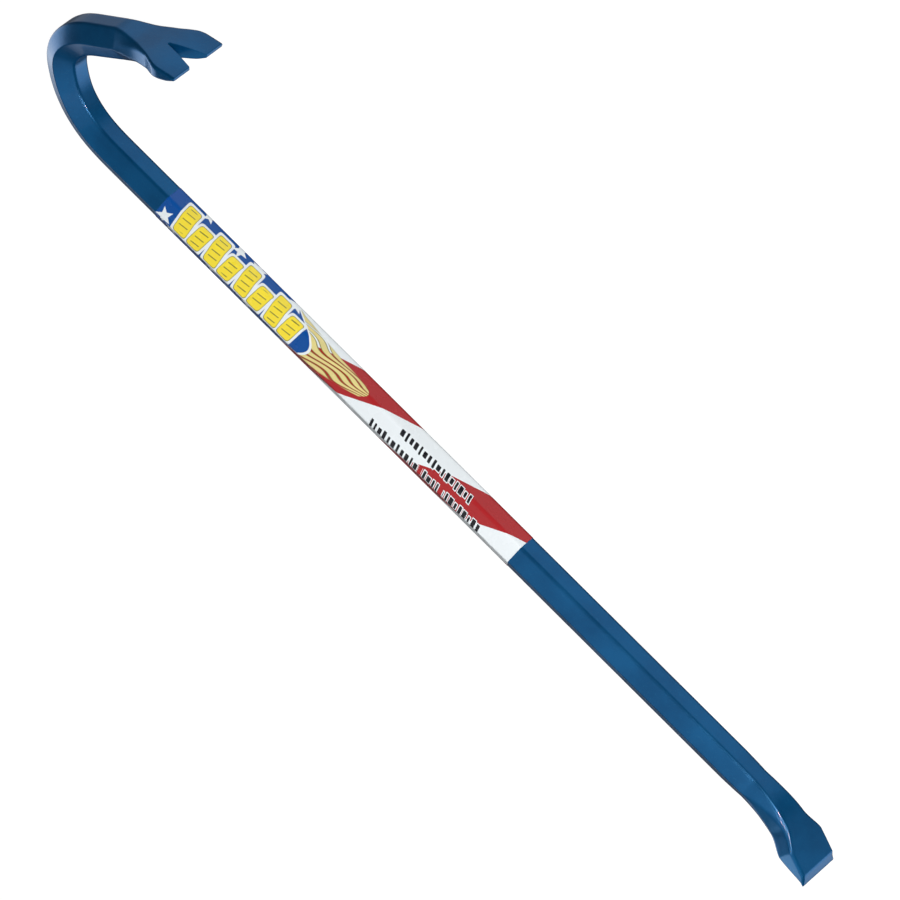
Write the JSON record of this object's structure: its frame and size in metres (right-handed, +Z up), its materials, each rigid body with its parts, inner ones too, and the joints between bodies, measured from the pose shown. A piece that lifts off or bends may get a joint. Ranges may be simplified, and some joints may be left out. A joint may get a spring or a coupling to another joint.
{
  "type": "pry bar",
  "caption": "Gooseneck wrecking bar: hexagonal shaft with a hooked, slotted nail-pulling claw at one end and an angled chisel at the other.",
  "frame": {"origin": "middle of the bounding box in X and Y, at its lowest point in Z, with the bar lying on its side and its plane of symmetry level", "axes": "+X along the shaft from the hook to the chisel, +Y to the side the hook opens to, +Z up, across the claw's width"},
  "size_m": [0.6096, 0.118, 0.043],
  "materials": {
    "blue_paint": "gloss",
    "label_film": "gloss"
  },
  "bodies": {
    "root": {"forged_bar": "blue_paint", "label_wrap": "label_film"}
  },
  "joints": []
}
